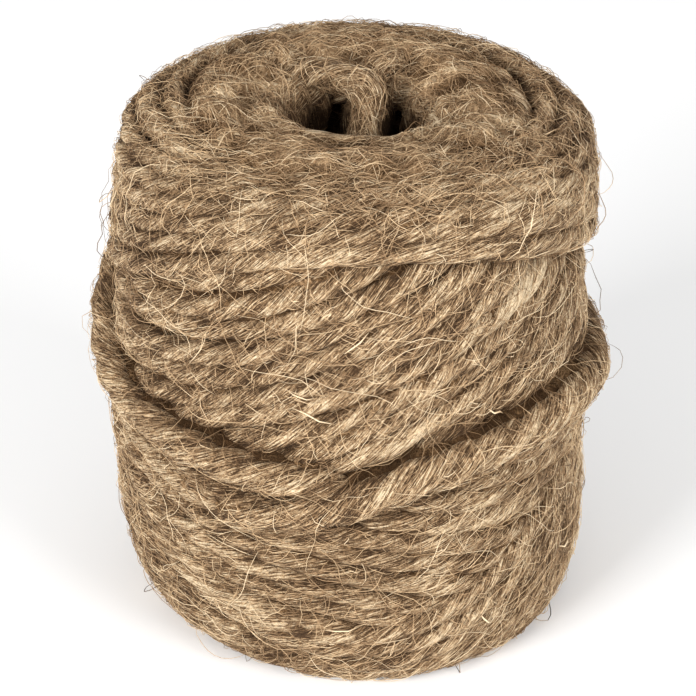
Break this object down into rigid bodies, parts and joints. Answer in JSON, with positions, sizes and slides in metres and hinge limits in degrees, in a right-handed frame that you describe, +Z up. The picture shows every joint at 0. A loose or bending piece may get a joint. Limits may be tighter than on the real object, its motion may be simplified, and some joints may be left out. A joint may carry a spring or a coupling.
{
  "type": "spool of jute twine",
  "caption": "Barrel-shaped spool of brown jute twine wound without a core, with a hole down its middle and one thick turn standing proud round the waist.",
  "frame": {"origin": "centre of the base, on the surface the spool stands on, below the middle of its bounding box", "axes": "+Z up along the winding axis; the front, where the proud turn dips lowest, faces -Y; +X is to the right seen from the front"},
  "size_m": [0.0865, 0.086, 0.0929],
  "materials": {
    "jute": "coarse twisted jute, dull, with loose blond fibres"
  },
  "bodies": {
    "root": {"wound_twine": "jute"}
  },
  "joints": []
}
